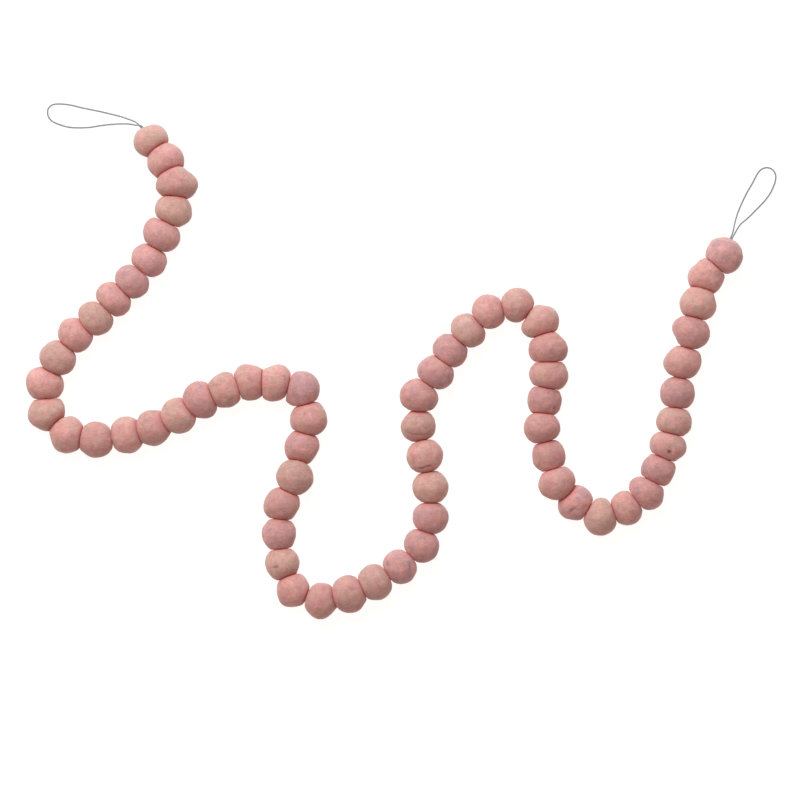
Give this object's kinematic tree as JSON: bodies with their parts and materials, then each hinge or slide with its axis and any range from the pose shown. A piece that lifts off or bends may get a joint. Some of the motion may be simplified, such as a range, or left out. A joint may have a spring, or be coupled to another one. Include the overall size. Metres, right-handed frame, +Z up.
{
  "type": "felt ball garland",
  "caption": "Garland of round wool felt balls pressed together along one cotton string, lying in loose curves, with a hanging loop at each end.",
  "frame": {"origin": "on the table, under the middle of the bounding box of the balls", "axes": "+Z up from the table, +X to the right and +Y away from the viewer in the picture, which looks straight down"},
  "size_m": [0.5627, 0.3872, 0.0294],
  "materials": {
    "felt": "matte felted wool in dusty pink",
    "string": "twisted off-white cotton"
  },
  "bodies": {
    "root": {"ball_01": "felt", "balls_02_03": "felt", "ball_04": "felt", "ball_05": "felt", "ball_06": "felt", "ball_07": "felt", "ball_08": "felt", "ball_09": "felt", "ball_10": "felt", "ball_11": "felt", "ball_12": "felt", "ball_13": "felt", "ball_14": "felt", "ball_15": "felt", "balls_16_17": "felt", "ball_18": "felt", "balls_19_20": "felt", "balls_21_22": "felt", "ball_23": "felt", "ball_24": "felt", "ball_25": "felt", "ball_26": "felt", "ball_27": "felt", "ball_28": "felt", "ball_29": "felt", "ball_30": "felt", "ball_31": "felt", "ball_32": "felt", "ball_33": "felt", "ball_34": "felt", "ball_35": "felt", "ball_36": "felt", "ball_37": "felt", "ball_38": "felt", "ball_39": "felt", "ball_40": "felt", "balls_41_42": "felt", "ball_43": "felt", "ball_44": "felt", "ball_45": "felt", "ball_46": "felt", "balls_47_48": "felt", "ball_49": "felt", "ball_50": "felt", "ball_51": "felt", "ball_52": "felt", "ball_53": "felt", "ball_54": "felt", "ball_55": "felt", "ball_56": "felt", "balls_57_58": "felt", "ball_59": "felt", "ball_60": "felt", "ball_61": "felt", "ball_62": "felt", "balls_63_64": "felt", "ball_65": "felt", "string": "string", "loop_left": "string", "loop_right": "string"}
  },
  "joints": []
}
